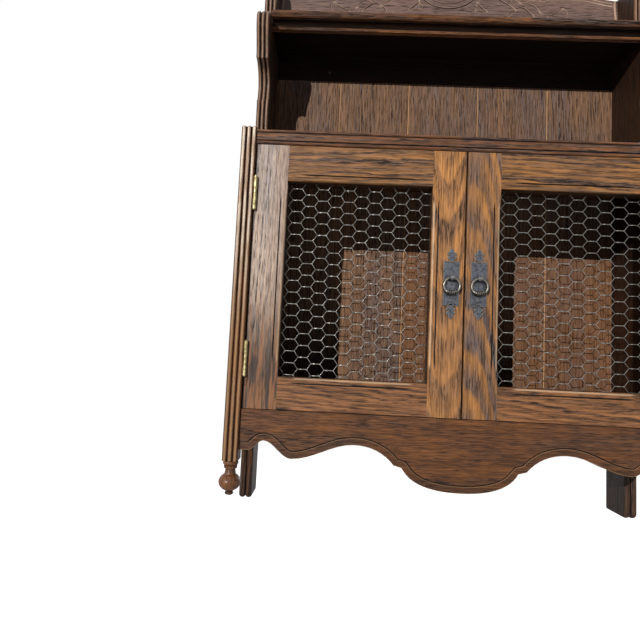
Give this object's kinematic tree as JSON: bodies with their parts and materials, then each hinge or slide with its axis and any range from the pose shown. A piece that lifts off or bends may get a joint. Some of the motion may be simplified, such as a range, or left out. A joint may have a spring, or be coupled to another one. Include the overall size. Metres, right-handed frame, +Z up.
{
  "type": "hanging curio cabinet",
  "caption": "Wall-hung oak curio cabinet: open display bay with carved crest over a bay with wire-net doors, reeded posts and scalloped apron.",
  "frame": {"origin": "on the wall, midway between the two hanging screw holes, at the back face of the hanging rail", "axes": "+X to the cabinet's right as seen from the room, +Y into the wall, +Z up"},
  "size_m": [0.6424, 0.1996, 0.952],
  "materials": {
    "case_oak": "satin dark stain",
    "inner_oak": "satin dark stain",
    "door_oak": "satin brown stain",
    "brass": "satin",
    "iron": "worn",
    "zinc_steel": "satin",
    "galvanised_wire": "dull",
    "brown_plastic": "matt"
  },
  "bodies": {
    "cabinet": {"side_panel_left": "case_oak", "side_panel_right": "case_oak", "pilaster_left": "case_oak", "pilaster_right": "case_oak", "finial_left": "case_oak", "finial_right": "case_oak", "display_ledge": "case_oak", "cabinet_floor": "inner_oak", "apron": "case_oak", "upper_shelf": "case_oak", "shelf_nosing": "case_oak", "crest_panel": "case_oak", "hanging_rail": "inner_oak", "back_board_1": "inner_oak", "back_board_2": "inner_oak", "back_board_3": "inner_oak", "back_board_4": "inner_oak", "back_board_5": "inner_oak", "case_hinge_leaves_left": "brass", "case_hinge_leaves_right": "brass", "case_hinge_screws_left": "brass", "case_hinge_screws_right": "brass", "hinge_pins_left": "brass", "hinge_pins_right": "brass", "catch_left": "brown_plastic", "catch_right": "brown_plastic"},
    "left_door": {"left_outer_stile": "door_oak", "left_inner_stile": "door_oak", "left_top_rail": "door_oak", "left_bottom_rail": "door_oak", "left_wire_net": "galvanised_wire", "left_net_strips": "door_oak", "left_hinge_leaves": "brass", "left_hinge_screws": "brass", "left_handle_plate": "iron", "left_ring_post": "iron", "left_plate_nail": "iron", "left_strike_plate": "zinc_steel"},
    "right_door": {"right_outer_stile": "door_oak", "right_inner_stile": "door_oak", "right_top_rail": "door_oak", "right_bottom_rail": "door_oak", "right_wire_net": "galvanised_wire", "right_net_strips": "door_oak", "right_hinge_leaves": "brass", "right_hinge_screws": "brass", "right_handle_plate": "iron", "right_ring_post": "iron", "right_plate_nail": "iron", "right_strike_plate": "zinc_steel"},
    "left_ring": {"left_drop_ring": "iron"},
    "right_ring": {"right_drop_ring": "iron"}
  },
  "joints": [
    {"name": "left_door_hinge", "type": "hinge", "parent": "cabinet", "child": "left_door", "pos_m": [-0.293, -0.1935, -0.40025], "axis": [0, 0, -1], "range_deg": [0, 170]},
    {"name": "right_door_hinge", "type": "hinge", "parent": "cabinet", "child": "right_door", "pos_m": [0.293, -0.1935, -0.40025], "axis": [0, 0, 1], "range_deg": [0, 170]},
    {"name": "left_ring_swing", "type": "hinge", "parent": "left_door", "child": "left_ring", "pos_m": [-0.0187, -0.1956, -0.3935], "axis": [-1, 0, 0], "range_deg": [0, 100]},
    {"name": "right_ring_swing", "type": "hinge", "parent": "right_door", "child": "right_ring", "pos_m": [0.0187, -0.1956, -0.3935], "axis": [-1, 0, 0], "range_deg": [0, 100]}
  ]
}
